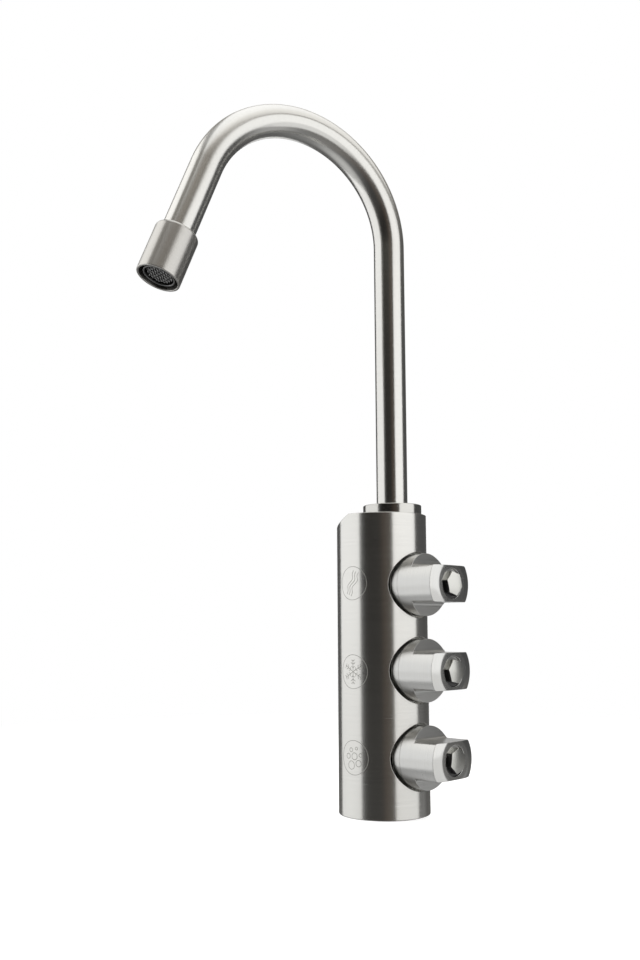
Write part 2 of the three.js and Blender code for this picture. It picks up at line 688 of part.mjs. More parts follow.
// Two windows, opposite each other, through a disc.
function discWithWindows(middleAngle) {
  const shape = new THREE.Shape(corners(DISC_DIAMETER / 2, BORE_SIDES));
  const half = THREE.MathUtils.degToRad(DISC_WINDOW_ANGLE / 2);
  [middleAngle, middleAngle + Math.PI].forEach((middle) => {
    const edge = (radius, side) => [0, 1, 2, 3, 4].map((step) => {
      const angle = middle + side * half * (step / 2 - 1);
      return new THREE.Vector2(radius * Math.cos(angle), radius * Math.sin(angle));
    });
    shape.holes.push(new THREE.Path([...edge(DISC_WINDOW_RADIUS, 1), ...edge(DISC_WINDOW_INNER, -1)]));
  });
  return shape;
}

// Extruded along +X from a shape whose X and Y become -Z and Y.
const disc = (shape, thickness, start) =>
  new THREE.ExtrudeGeometry(shape, { depth: thickness, bevelEnabled: false })
    .rotateY(Math.PI / 2)
    .translate(start, 0, 0);

const fixedDisc = () => solid(disc(discWithWindows(0), FIXED_DISC_THICKNESS, fixedDiscX));

// Its windows stand a quarter turn from the fixed disc's, and its back has the driver's slot.
function movingDisc() {
  const slot = new THREE.BoxGeometry(
    2 * DRIVER_HEIGHT + SEAT_GAP, DRIVER_WIDTH + 2 * FIT_GAP, DRIVER_SPAN + 2 * FIT_GAP);
  slot.translate(movingDiscX + MOVING_DISC_THICKNESS, 0, 0);
  return cut(solid(disc(discWithWindows(Math.PI / 2), MOVING_DISC_THICKNESS, movingDiscX)), solid(slot));
}

const discSeal = () => {
  const outer = VALVE_BORE_DIAMETER / 2 - FIT_GAP;
  const end = discSealX + DISC_SEAL_THICKNESS;
  return solid(turnedX(ring(discSealX, end, DISC_WINDOW_RADIUS, outer), BORE_SIDES));
};

// ---------------------------------------------------------------- assembly

const tap = new THREE.Group();
tap.add(piece('column', column(), brushedSteel));
tap.add(piece('base_seal', baseSeal(), rubber));

const riser = new THREE.Group();
riser.position.set(RISER_X, WATERWAY_Y, 0);
riser.add(piece('spout_collar', spoutCollar(), brushedSteel));
riser.add(piece('swivel_bush', swivelBush(), whitePlastic));
tap.add(riser);

const spout = new THREE.Group();
spout.rotation.z = THREE.MathUtils.degToRad(SPOUT_TURN);
spout.add(piece('spout_tube', spoutTube(), brushedSteel));
spout.add(piece('spout_foot', spoutFoot(), brass));
['lower', 'upper'].forEach((place, index) => {
  spout.add(piece(`foot_o_ring_${place}`, footRing(footGrooveHeights()[index]), rubber));
});
riser.add(spout);

const aerator = new THREE.Group();
const tubeEnd = new SpoutLine().station(1);
aerator.position.copy(tubeEnd.point);
aerator.rotation.x = THREE.MathUtils.degToRad(BEND_ANGLE);
aerator.add(piece('aerator_shell', aeratorShell(), brushedSteel));
aerator.add(piece('aerator_washer', aeratorWasher(), rubber));
aerator.add(piece('aerator_cage', aeratorCage(), polishedSteel));
aerator.add(piece('aerator_mixer', aeratorMixer(), blackPlastic));
aerator.add(piece('aerator_screen', aeratorScreen(), screenSteel));
spout.add(aerator);

const handlePieces = [
  ['knob', knob(), brushedSteel],
  ['knob_screw', knobScrew(), polishedSteel],
  ['spindle', spindle(), brass],
  ['spindle_clip', spindleClip(), polishedSteel],
  ['stem_o_ring', stemRing(), rubber],
  ['cartridge', cartridge(), brass],
  ['cartridge_seal', cartridgeSeal(), rubber],
  ['moving_disc', movingDisc(), ceramic],
  ['fixed_disc', fixedDisc(), ceramic],
  ['disc_seal', discSeal(), rubber],
];
HANDLE_NAMES.forEach((name, index) => {
  const handle = new THREE.Group();
  handle.position.set(0, WATERWAY_Y, handleHeights[index]);
  handlePieces.forEach(([kind, body, material]) => handle.add(piece(`${kind}_${name}`, body, material)));
  tap.add(handle);
});

export default tap;
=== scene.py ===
"""A three way filtered water tap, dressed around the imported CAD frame.

Lengths are in millimetres until a mesh is made, and then in metres. The frame is the record's: the
origin is the centre of the column's underside, +Z is up, the etched marks face -Y and the handles +X.
"""

import math

import bmesh
import bpy
import numpy as np
from mathutils import Matrix, Vector


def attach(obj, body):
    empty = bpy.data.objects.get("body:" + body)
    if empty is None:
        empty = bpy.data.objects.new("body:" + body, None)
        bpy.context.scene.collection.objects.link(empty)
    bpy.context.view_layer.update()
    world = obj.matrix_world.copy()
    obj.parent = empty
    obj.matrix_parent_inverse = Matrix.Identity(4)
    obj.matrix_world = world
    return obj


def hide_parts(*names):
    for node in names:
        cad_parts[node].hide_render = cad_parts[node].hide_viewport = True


MM = 0.001

# column, as in the CAD source
COLUMN_RADIUS = 20.0
COLUMN_HEIGHT = 130.2
FOOT_ROUNDING = 0.5
TOP_ROUNDING = 0.35
BEVEL_AZIMUTH = -70.0  # degrees from the marked face, towards -X
BEVEL_START = 8.6
BEVEL_SLOPE = 28.8  # degrees from the level
RISER = (5.45, 1.2)  # the spout's axis
SEAT_FLOOR = 114.7
SEAT_RADIUS = 9.0
THREAD_FLOOR = 124.2
THREAD_RADIUS = 10.3
VALVE_FLOOR = -5.5
VALVE_RADIUS = 8.0
STUD_AT = (7.5, 0)
STUD_RADIUS = 4.0
STUD_DEPTH = 12
PORTS = ((-11.7, 1.2), (-9.5, -6.4), (-9.5, 8.8))
PORT_RADIUS = 3.5
PORT_DEPTH = 10
SEAL_GROOVE = (17.2, 18.8)
SEAL_GROOVE_DEPTH = 1.4

# collar
COLLAR_BOTTOM = 124.5
COLLAR_TOP = 134.6
COLLAR_RADIUS = 13.0
COLLAR_THREAD_RADIUS = 10.05

# spout
TUBE_RADIUS = 6.9
TUBE_BORE = 5.4
TUBE_HOLE = 7.15  # in the collar and the sleeve
TUBE_BOTTOM = 121.3
BEND_START = 253.3
BEND_RADIUS = 47.6
BEND_ANGLE = 158.2
END_LEG = 39.4
SPOUT_TURN = -14.8

# aerator: places along the tube's end, from its mouth
SLEEVE_START = -5.8
SLEEVE_END = 16.2
SLEEVE_RADIUS = 9.2
SLEEVE_INNER = 8.2
SLEEVE_ROUNDING = 1.4
SLEEVE_LEDGE = (0.3, 2.7)
CAGE_START = 4.15
CAGE_FLOOR = 5.15
CAGE_FLANGE = 6.05
CAGE_END = 15.4
CAGE_HOLE = 3.05
CAGE_INNER = 6.1
CAGE_OUTER = 6.8
CAGE_FLANGE_RADIUS = 7.95
SCREEN_PLACE = 14.4
SCREEN_RADIUS = 5.85
SCREEN_PITCH = 1.2
SCREEN_WIRE = 0.4
SCREEN_TURN = 37

# handles: heights, places along +X and radii
HANDLES = {"lower": 25.5, "middle": 62.2, "upper": 98.9}
RECESS_RADIUS = 14.2
RECESS_FLOOR = 12.8
KNOB_RADIUS = 13.5
KNOB_BACK = 14.4
KNOB_BACK_RADIUS = 13.1
KNOB_HOLLOW = (18.0, 9.2)
KNOB_STEP = 24.5
KNOB_RIM = 36.3
KNOB_FACE = 37.7
CROWN_WIDTH = 4.8
HUB_HOLE = (21.1, 4.75)
SPINDLE_HOLE = (28.1, 3.35)
SCREW_HOLE = 1.75
STEP_LEAN = 2.6
GRIP_HALF = 7.75
GRIP_FILLET = 1.6
GRIP_START = KNOB_STEP + 0.25
SCREW_SEAT = 36.6
SCREW_END = 39.6
SCREW_FLATS = 9.2
SHANK_LENGTH = 10.5
SHANK_RADIUS = 1.5
SCREW_TURN = {"lower": 20.0, "middle": -10.0, "upper": -14.0}
SCREW_LEAN = {"lower": 0.0, "middle": 3.0, "upper": 12.0}
POCKET_RADIUS = 6.4
BEYOND = 45.0  # past every piece along +X

X_AXIS = Vector((1, 0, 0))
Z_AXIS = Vector((0, 0, 1))


# ---------------------------------------------------------------- mesh tools


def make(name, points, faces):
    """A new object from points in millimetres."""
    mesh = bpy.data.meshes.new(name)
    mesh.from_pydata([Vector(p) * MM for p in points], [], faces)
    mesh.validate()
    obj = bpy.data.objects.new(name, mesh)
    bpy.context.scene.collection.objects.link(obj)
    return obj


def rounded(corners, steps=5):
    """A closed profile from (along, radius, fillet) corners, with each fillet drawn as an arc."""
    out = []
    for i, (along, radius, fillet) in enumerate(corners):
        here = Vector((along, radius))
        if fillet == 0:
            out.append(here)
            continue
        before = (Vector(corners[i - 1][:2]) - here).normalized()
        after = (Vector(corners[(i + 1) % len(corners)][:2]) - here).normalized()
        half = before.angle(after) / 2
        centre = here + (before + after).normalized() * (fillet / math.sin(half))
        start = here + before * (fillet / math.tan(half)) - centre
        end = here + after * (fillet / math.tan(half)) - centre
        sweep = math.atan2(start.x * end.y - start.y * end.x, start.dot(end))
        for k in range(steps + 1):
            turn = sweep * k / steps
            out.append(centre + Matrix.Rotation(turn, 2) @ start)
    return out


def turned(name, profile, sides, place):
    """A turned solid about the local Z of the matrix place. Points at radius 0 close its ends."""
    points, rings = [], []
    for along, radius in profile:
        if radius < 1e-6:
            rings.append([len(points)])
            points.append(place @ Vector((0, 0, along)))
            continue
        rings.append(list(range(len(points), len(points) + sides)))
        for k in range(sides):
            angle = 2 * math.pi * k / sides
            points.append(place @ Vector((radius * math.cos(angle), radius * math.sin(angle), along)))
    faces = []
    closed = len(rings[0]) > 1
    for i in range(len(rings) if closed else len(rings) - 1):
        a, b = rings[i], rings[(i + 1) % len(rings)]
        for k in range(sides):
            n = (k + 1) % sides
            corners = [a[k % len(a)], a[n % len(a)], b[n % len(b)], b[k % len(b)]]
            faces.append(list(dict.fromkeys(corners)))
    obj = make(name, points, faces)
    face_out(obj)
    return obj


def face_out(obj):
    """Turns the faces of a closed mesh outwards."""
    bm = bmesh.new()
    bm.from_mesh(obj.data)
    bmesh.ops.recalc_face_normals(bm, faces=bm.faces)
    if bm.calc_volume(signed=True) < 0:
        bmesh.ops.reverse_faces(bm, faces=bm.faces)
    bm.to_mesh(obj.data)
    bm.free()


def prism(name, rings):
    """A closed solid between two outlines that have as many points."""
    n = len(rings[0])
    faces = [list(range(n)), list(range(2 * n - 1, n - 1, -1))]
    faces += [(k, (k + 1) % n, n + (k + 1) % n, n + k) for k in range(n)]
    obj = make(name, rings[0] + rings[1], faces)
    face_out(obj)
    return obj


def combine(target, others, operation="DIFFERENCE"):
    """Applies one exact boolean after another to target, and removes the others."""
    for other in others:
        step = target.modifiers.new("combine", "BOOLEAN")
        step.operation, step.solver, step.object = operation, "EXACT", other
    graph = bpy.context.evaluated_depsgraph_get()
    mesh = bpy.data.meshes.new_from_object(target.evaluated_get(graph))
    target.modifiers.clear()
    target.data = mesh
    for other in others:
        bpy.data.objects.remove(other)
    return target


def on_axis(origin, direction):
    """A matrix whose local Z is the direction and whose origin is the given point."""
    turn = Vector(direction).to_track_quat("Z", "Y").to_matrix().to_4x4()
    return Matrix.Translation(Vector(origin)) @ turn


def finish_surface(obj, axes, sharp=32.0, tolerance=0.03):
    """Sets exact normals and a brushing map.

    A face that belongs to a surface turned about one of the axes gets that surface's normals. Faces
    that meet at less than sharp degrees are blended, the larger ones counting most. The map's U runs
    round the axis and V along it, in millimetres, so that a material can follow the turning marks.
    """
    mesh = obj.data
    n_loops, n_faces = len(mesh.loops), len(mesh.polygons)
    co = np.empty(len(mesh.vertices) * 3)
    mesh.vertices.foreach_get("co", co)
    co = co.reshape(-1, 3) / MM
    loop_vertex = np.empty(n_loops, int)
    mesh.loops.foreach_get("vertex_index", loop_vertex)
    totals = np.empty(n_faces, int)
    mesh.polygons.foreach_get("loop_total", totals)
    face_of = np.repeat(np.arange(n_faces), totals)
    flat = np.empty(n_faces * 3)
    mesh.polygons.foreach_get("normal", flat)
    flat = flat.reshape(-1, 3)
    area = np.empty(n_faces)
    mesh.polygons.foreach_get("area", area)
    at = co[loop_vertex]
    centre = np.stack([np.bincount(face_of, at[:, k], n_faces) for k in range(3)], 1) / totals[:, None]
    normal = flat[face_of].copy()
    main = np.abs(flat).argmax(1)[face_of]
    pick = np.array([[1, 2], [0, 2], [0, 1]])[main]
    uv = np.stack([at[np.arange(n_loops), pick[:, 0]], at[np.arange(n_loops), pick[:, 1]]], 1)
    free = np.ones(n_faces, bool)
    for origin, direction in axes:
        o, d = np.array(origin, float), np.array(Vector(direction).normalized())
        east = np.array(Vector(direction).orthogonal().normalized())
        north = np.cross(d, east)

        def polar(points):
            rel = points - o
            along = rel @ d
            radial = rel - along[:, None] * d
            radius = np.maximum(np.linalg.norm(radial, axis=1), 1e-9)
            return along, radius, radial / radius[:, None]

        c_along, c_radius, c_out = polar(centre)
        v_along, v_radius, v_out = polar(at)
        n_along = flat @ d
        n_radial = np.einsum("ij,ij->i", flat, c_out)
        slip = np.abs(np.einsum("ij,ij->i", flat, np.cross(d, c_out)))
        flat_end = np.abs(n_along) > 0.9999
        n_radial[flat_end], slip[flat_end] = 0, 0
        off = n_along[face_of] * (v_along - c_along[face_of])
        off += n_radial[face_of] * (v_radius - c_radius[face_of])
        worst = np.zeros(n_faces)
        np.maximum.at(worst, face_of, np.abs(off))
        mine = free & (worst < tolerance) & (slip < 0.05)
        free &= ~mine
        here = mine[face_of]
        found = n_along[face_of, None] * d + n_radial[face_of, None] * v_out
        normal[here] = (found / np.linalg.norm(found, axis=1)[:, None])[here]
        c_angle = np.arctan2(c_out @ north, c_out @ east)
        v_angle = np.arctan2(v_out @ north, v_out @ east)
        step = (v_angle - c_angle[face_of] + math.pi) % (2 * math.pi) - math.pi
        middle = np.maximum(c_radius, 1.0)[face_of]
        round_ = (c_angle[face_of] + step) * middle
        across = v_along * np.abs(n_radial[face_of]) + v_radius * np.abs(n_along[face_of])
        uv[here] = np.stack([round_, across], 1)[here]
    order = np.argsort(loop_vertex, kind="stable")
    ends = np.searchsorted(loop_vertex[order], np.arange(len(co) + 1))
    limit = math.cos(math.radians(sharp))
    weight = area[face_of] + 1e-12
    smooth = normal.copy()
    for vertex in range(len(co)):
        around = order[ends[vertex] : ends[vertex + 1]]
        if len(around) < 2:
            continue
        ns = normal[around]
        near = (ns @ ns.T) > limit
        mixed = (near * weight[around][None, :]) @ ns
        smooth[around] = mixed / np.linalg.norm(mixed, axis=1)[:, None]
    mesh.polygons.foreach_set("use_smooth", np.ones(n_faces, bool))
    layer = mesh.uv_layers.new(name="Brushing")
    layer.data.foreach_set("uv", uv.astype(np.float32).ravel())
    mesh.normals_split_custom_set([tuple(n) for n in smooth])
    return obj


# ---------------------------------------------------------------- materials


class Nodes:
    """Short calls for building a node tree."""

    def __init__(self, tree):
        self.tree = tree
        tree.nodes.clear()

    def add(self, kind, inputs=None, **settings):
        node = self.tree.nodes.new(kind)
        for key, value in settings.items():
            setattr(node, key, value)
        for key, value in (inputs or {}).items():
            if isinstance(value, bpy.types.NodeSocket):
                self.tree.links.new(value, node.inputs[key])
            else:
                node.inputs[key].default_value = value
        return node

    def math(self, operation, a, b=0.0, clamp=False):
        node = self.add("ShaderNodeMath", {0: a, 1: b}, operation=operation, use_clamp=clamp)
        return node.outputs[0]

    def ramp(self, value, stops):
        node = self.add("ShaderNodeValToRGB", {"Fac": value})
        for _ in range(len(stops) - 2):
            node.color_ramp.elements.new(0.5)
        for element, (place, color) in zip(node.color_ramp.elements, stops):
            element.position = place
            element.color = (*color, 1)
        return node.outputs["Color"]


TONE_SPREAD = 0.05
ROUGHNESS_SPREAD = 0.10
EDGE_SOFTNESS = 0.00025  # metres


def grey(value):
    return (value, value, value)


def material(name):
    mat = bpy.data.materials.new(name)
    mat.use_nodes = True
    return mat, Nodes(mat.node_tree)


def brushed_steel(name, tone, roughness, anisotropy):
    """Turned or drawn steel. Fine marks run along U of the brushing map and blur reflections across."""
    mat, n = material(name)
    uv = n.add("ShaderNodeUVMap", uv_map="Brushing").outputs[0]
    fine = n.add("ShaderNodeMapping", {"Vector": uv, "Scale": (0.06, 7.0, 1.0)}).outputs[0]
    coarse = n.add("ShaderNodeMapping", {"Vector": uv, "Scale": (0.02, 1.1, 1.0)}).outputs[0]

    def marks_along(vector, detail):
        noise = {"Vector": vector, "Scale": 1.0, "Detail": detail, "Roughness": 0.6}
        return n.add("ShaderNodeTexNoise", noise).outputs["Fac"]

    lines, bands = marks_along(fine, 3.0), marks_along(coarse, 4.0)
    place = n.add("ShaderNodeTexCoord").outputs["Object"]
    cloud = n.add("ShaderNodeTexNoise", {"Vector": place, "Scale": 70.0, "Detail": 3.0})
    mixed = n.math("ADD", n.math("MULTIPLY", lines, 0.5), n.math("MULTIPLY", bands, 0.5))
    low = tuple(c * (1 - TONE_SPREAD) for c in tone)
    high = tuple(min(1.0, c * (1 + TONE_SPREAD)) for c in tone)
    color = n.ramp(mixed, [(0.3, low), (0.7, high)])
    rough = n.math("ADD", n.math("MULTIPLY", mixed, ROUGHNESS_SPREAD), roughness - ROUGHNESS_SPREAD / 2)
    rough = n.math("ADD", rough, n.math("MULTIPLY", cloud.outputs["Fac"], 0.03))
    edge = n.add("ShaderNodeBevel", {"Radius": EDGE_SOFTNESS}, samples=6).outputs[0]
    raised = {"Height": lines, "Strength": 0.035, "Distance": 0.0001, "Normal": edge}
    bump = n.add("ShaderNodeBump", raised)
    tangent = n.add("ShaderNodeTangent", direction_type="UV_MAP", uv_map="Brushing").outputs[0]
    shader = n.add(
        "ShaderNodeBsdfPrincipled",
        {
            "Base Color": color,
            "Metallic": 1.0,
            "Roughness": rough,
            "Anisotropic": anisotropy,
            "Anisotropic Rotation": 0.25,
            "Tangent": tangent,
            "Normal": bump.outputs[0],
        },
    )
    n.add("ShaderNodeOutputMaterial", {"Surface": shader.outputs[0]})
    return mat


def plain(name, dark, light, roughness, metallic=0.0, scale=400.0, bump=0.05):
    """A mottled material: two tones mixed by noise, with a matching roughness."""
    mat, n = material(name)
    place = n.add("ShaderNodeTexCoord").outputs["Object"]
    mottle = {"Vector": place, "Scale": scale, "Detail": 5.0, "Roughness": 0.6}
    noise = n.add("ShaderNodeTexNoise", mottle)
    wide = n.add("ShaderNodeTexNoise", {"Vector": place, "Scale": scale / 9, "Detail": 2.0})
    both = n.math("MULTIPLY", n.math("ADD", noise.outputs["Fac"], wide.outputs["Fac"]), 0.5)
    rough = n.math("ADD", n.math("MULTIPLY", both, 0.16), roughness - 0.08)
    relief = {"Height": noise.outputs["Fac"], "Strength": bump, "Distance": 0.0002}
    raised = n.add("ShaderNodeBump", relief)
    inputs = {
        "Base Color": n.ramp(both, [(0.3, dark), (0.7, light)]),
        "Metallic": metallic,
        "Roughness": rough,
        "Normal": raised.outputs[0],
    }
    shader = n.add("ShaderNodeBsdfPrincipled", inputs)
    n.add("ShaderNodeOutputMaterial", {"Surface": shader.outputs[0]})
    return mat


STEEL_TONE = (0.66, 0.655, 0.63)
column_steel = brushed_steel("column_steel", STEEL_TONE, 0.24, 0.75)
collar_steel = brushed_steel("collar_steel", (0.58, 0.575, 0.55), 0.17, 0.5)
tube_steel = brushed_steel("tube_steel", STEEL_TONE, 0.22, 0.5)
knob_steel = brushed_steel("knob_steel", (0.61, 0.61, 0.595), 0.27, 0.5)
face_steel = brushed_steel("knob_face_steel", (0.6, 0.6, 0.585), 0.17, 0.2)
screw_steel = brushed_steel("screw_steel", (0.6, 0.6, 0.57), 0.24, 0.2)
# Painted shade: the same steel made darker, put on the lower side of each knob's screw pocket and on the
# hexagon heads' side facets, where shade falls.
painted_shade_steel = plain("painted_shade_on_pocket_and_hex", grey(0.1), grey(0.16), 0.4, metallic=1.0)
shell_steel = brushed_steel("shell_steel", (0.545, 0.535, 0.51), 0.3, 0.6)
cage_steel = plain("cage_steel", grey(0.16), grey(0.24), 0.35, metallic=1.0)
wire_steel = plain("wire_steel", grey(0.3), grey(0.42), 0.35, metallic=1.0)
etched = plain(
    "etched_steel", (0.44, 0.44, 0.41), (0.54, 0.54, 0.51), 0.6, metallic=0.6, scale=2500.0, bump=0.4)
brass = plain("turned_brass", (0.56, 0.40, 0.16), (0.68, 0.50, 0.22), 0.35, metallic=1.0)
inner_steel = plain("inner_steel", grey(0.42), grey(0.52), 0.32, metallic=1.0)
rubber = plain("seal_rubber", grey(0.012), grey(0.022), 0.72, scale=900.0, bump=0.25)
dark_plastic = plain("dark_plastic", grey(0.02), grey(0.035), 0.5)
white_plastic = plain("white_plastic", (0.74, 0.73, 0.69), (0.8, 0.79, 0.75), 0.45)
ceramic = plain("ceramic", (0.80, 0.79, 0.76), (0.86, 0.85, 0.82), 0.22)


# ---------------------------------------------------------------- pieces

INNER = {
    "base_seal": rubber,
    "swivel_bush": white_plastic,
    "spout_foot": brass,
    "foot_o_ring_lower": rubber,
    "foot_o_ring_upper": rubber,
    "aerator_washer": rubber,
    "aerator_mixer": dark_plastic,
}
INNER_HANDLE = {
    "spindle": brass,
    "spindle_clip": inner_steel,
    "stem_o_ring": rubber,
    "cartridge": brass,
    "cartridge_seal": rubber,
    "moving_disc": ceramic,
    "fixed_disc": ceramic,
    "disc_seal": rubber,
}


def dress(name, mat):
    """Gives a CAD node that stays its material."""
    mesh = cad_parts[name].data
    mesh.materials.clear()
    mesh.materials.append(mat)


def place_piece(obj, body, mat, slot, *nodes):
    obj.data.materials.clear()
    obj.data.materials.append(mat)
    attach(obj, body)
    if nodes:
        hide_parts(*nodes)
    return obj


def rod(name, place, start, end, radius, sides=96):
    return turned(name, [(start, 0), (start, radius), (end, radius), (end, 0)], sides, place)


def bevel_cutter():
    slope = math.radians(BEVEL_SLOPE)
    turn = Matrix.Rotation(math.radians(BEVEL_AZIMUTH - 90), 4, "Z")
    tilt = Matrix.Rotation(slope, 4, "Y")
    shift = Matrix.Translation((BEVEL_START, 0, COLUMN_HEIGHT))
    place = turn @ shift @ tilt
    reach = 60.0
    ends = [(x, y, z) for x in (0, reach) for y in (-reach, reach) for z in (0, reach)]
    faces = [(0, 1, 3, 2), (4, 6, 7, 5), (0, 4, 5, 1), (2, 3, 7, 6), (0, 2, 6, 4), (1, 5, 7, 3)]
    obj = make("bevel_cutter", [place @ Vector(p) for p in ends], faces)
    face_out(obj)
    return obj


def recess_cutter(height, rounding=0.3, steps=5, sides=192):
    """A round recess along +X whose mouth is rounded where it meets the round column."""
    rings = []
    for k in range(sides):
        angle = 2 * math.pi * k / sides
        y, z = math.cos(angle), math.sin(angle)
        side = RISER[1] + RECESS_RADIUS * y
        edge = math.sqrt(COLUMN_RADIUS**2 - side**2)
        corner = Vector((edge, RECESS_RADIUS))
        surface = Vector((-side * y / edge, 1)).normalized()
        half = Vector((-1, 0)).angle(surface) / 2
        centre = corner + (Vector((-1, 0)) + surface).normalized() * (rounding / math.sin(half))
        start = Vector((0, -rounding))
        sweep = math.pi - 2 * half
        arc = [centre + Matrix.Rotation(sweep * i / steps, 2) @ start for i in range(steps + 1)]
        end = arc[-1]
        ring = [(RECESS_FLOOR, RECESS_RADIUS)] + [(max(x, RECESS_FLOOR + 0.05), r) for x, r in arc]
        ring += [(end.x + 2.0, end.y + 0.4), (45.0, end.y + 0.4)]
        rings.append([(x, RISER[1] + r * y, height + r * z) for x, r in ring])
    points = [p for ring in rings for p in ring]
    low, high = len(points), len(points) + 1
    points += [(RECESS_FLOOR, RISER[1], height), (45.0, RISER[1], height)]
    faces = []
    n = len(rings[0])
    for k in range(sides):
        a, b = n * k, n * ((k + 1) % sides)
        faces += [(a + i, b + i, b + i + 1, a + i + 1) for i in range(n - 1)]
        faces += [(low, b, a), (high, a + n - 1, b + n - 1)]
    obj = make("recess_cutter", points, faces)
    face_out(obj)
    return obj


def column():
    profile = rounded([
        (0, 0.001, 0), (0, COLUMN_RADIUS, FOOT_ROUNDING),
        (COLUMN_HEIGHT, COLUMN_RADIUS, TOP_ROUNDING), (COLUMN_HEIGHT, 0.001, 0)])
    profile = [(0, 0)] + [tuple(p) for p in profile[1:-1]] + [(COLUMN_HEIGHT, 0)]
    obj = turned("column_body", profile, 360, Matrix())
    riser = Matrix.Translation((*RISER, 0))
    combine(obj, [bevel_cutter()])
    combine(obj, [recess_cutter(height) for height in HANDLES.values()])
    inner = [
        rod("thread", riser, THREAD_FLOOR, COLUMN_HEIGHT + 1, THREAD_RADIUS),
        rod("seat", riser, SEAT_FLOOR, COLUMN_HEIGHT, SEAT_RADIUS),
        rod("stud", Matrix.Translation((*STUD_AT, 0)), -1, STUD_DEPTH, STUD_RADIUS, 48),
    ]
    for height in HANDLES.values():
        valve = on_axis((0, RISER[1], height), X_AXIS)
        inner.append(rod("valve", valve, VALVE_FLOOR, RECESS_FLOOR + 1, VALVE_RADIUS, 72))
    for x, y in PORTS:
        inner.append(rod("port", Matrix.Translation((x, y, 0)), -1, PORT_DEPTH, PORT_RADIUS, 40))
    combine(obj, inner)
    near, far = SEAL_GROOVE
    ring = [(-1, near), (-1, far), (SEAL_GROOVE_DEPTH, far), (SEAL_GROOVE_DEPTH, near)]
    combine(obj, [turned("groove", ring, 160, Matrix())])
    axes = [((x, y, 0), Z_AXIS) for x, y in ((0, 0), RISER, STUD_AT)]
    axes += [((0, RISER[1], height), X_AXIS) for height in HANDLES.values()]
    axes += [((x, y, 0), Z_AXIS) for x, y in PORTS]
    finish_surface(obj, axes)
    place_piece(obj, "base", column_steel, "brushed_steel", "column")


def collar():
    profile = rounded([
        (COLLAR_BOTTOM, TUBE_HOLE, 0), (COLLAR_BOTTOM, COLLAR_THREAD_RADIUS, 0),
        (COLUMN_HEIGHT, COLLAR_THREAD_RADIUS, 0), (COLUMN_HEIGHT, COLLAR_RADIUS, 0.1),
        (COLLAR_TOP, COLLAR_RADIUS, 0.4), (COLLAR_TOP, TUBE_HOLE, 0.25)])
    obj = turned("spout_ring", profile, 192, Matrix.Translation((*RISER, 0)))
    finish_surface(obj, [((*RISER, 0), Z_AXIS)])
    place_piece(obj, "base", collar_steel, "brushed_steel", "spout_collar")


spout_frame = Matrix.Translation((*RISER, 0)) @ Matrix.Rotation(math.radians(SPOUT_TURN), 4, "Z")
BEND = math.radians(BEND_ANGLE)
END = Vector((
    0,
    -BEND_RADIUS * (1 - math.cos(BEND)) - math.sin(BEND) * END_LEG,
    BEND_START + BEND_RADIUS * math.sin(BEND) + math.cos(BEND) * END_LEG,
))
aerator_frame = spout_frame @ Matrix.Translation(END) @ Matrix.Rotation(BEND, 4, "X")


def spout_tube(sides=96, riser_steps=40, bend_steps=180, leg_steps=16):
    """Outer and inner walls swept along the riser, the bend and the end leg."""
    stations = [(z, 0.0) for z in np.linspace(TUBE_BOTTOM, BEND_START, riser_steps)[:-1]]
    stations += [(BEND_START, turn) for turn in np.linspace(0, BEND, bend_steps)]
    rings, along, travel = [], [], 0.0
    centres = []
    for z, turn in stations:
        forward = -BEND_RADIUS * (1 - math.cos(turn))
        centres.append((Vector((0, forward, z + BEND_RADIUS * math.sin(turn))), turn))
    last = centres[-1][0]
    direction = Vector((0, -math.sin(BEND), math.cos(BEND)))
    centres += [(last + direction * step, BEND) for step in np.linspace(0, END_LEG, leg_steps)[1:]]
    previous = centres[0][0]
    for centre, turn in centres:
        travel += (centre - previous).length
        previous = centre
        along.append(travel)
        rings.append((centre, Vector((0, math.cos(turn), math.sin(turn)))))
    points, faces, normals, uvs = [], [], [], []
    for wall, radius in enumerate((TUBE_RADIUS, TUBE_BORE)):
        for centre, outward in rings:
            for k in range(sides):
                angle = 2 * math.pi * k / sides
                out = X_AXIS * math.cos(angle) + outward * math.sin(angle)
                points.append(spout_frame @ (centre + out * radius))
                normals.append((spout_frame.to_3x3() @ out) * (1 if wall == 0 else -1))
    count = len(rings) * sides
    for wall in (0, 1):
        for i in range(len(rings) - 1):
            for k in range(sides):
                n = (k + 1) % sides
                a, b = wall * count + i * sides, wall * count + (i + 1) * sides
                quad = [a + k, a + n, b + n, b + k]
                faces.append(quad if wall == 0 else quad[::-1])
                uv = [(k, i), (k + 1, i), (k + 1, i + 1), (k, i + 1)]
                uvs += uv if wall == 0 else uv[::-1]
    smooth = len(faces)
    for i in (0, len(rings) - 1):
        for k in range(sides):
            n = (k + 1) % sides
            quad = [i * sides + k, i * sides + n, count + i * sides + n, count + i * sides + k]
            faces.append(quad[::-1] if i == 0 else quad)
            uvs += [(k, i), (k + 1, i), (k + 1, i), (k, i)]
    obj = make("gooseneck", points, faces)
    mesh = obj.data
    around = 2 * math.pi * TUBE_RADIUS / sides
    layer = mesh.uv_layers.new(name="Brushing")
    flat = np.array([(u * around, along[int(v)]) for u, v in uvs], np.float32)
    layer.data.foreach_set("uv", flat.ravel())
    mesh.polygons.foreach_set("use_smooth", np.ones(len(mesh.polygons), bool))
    split = []
    for polygon in mesh.polygons:
        for vertex in polygon.vertices:
            split.append(tuple(normals[vertex] if polygon.index < smooth else polygon.normal))
    mesh.normals_split_custom_set(split)
    place_piece(obj, "spout", tube_steel, "brushed_steel", "spout_tube")


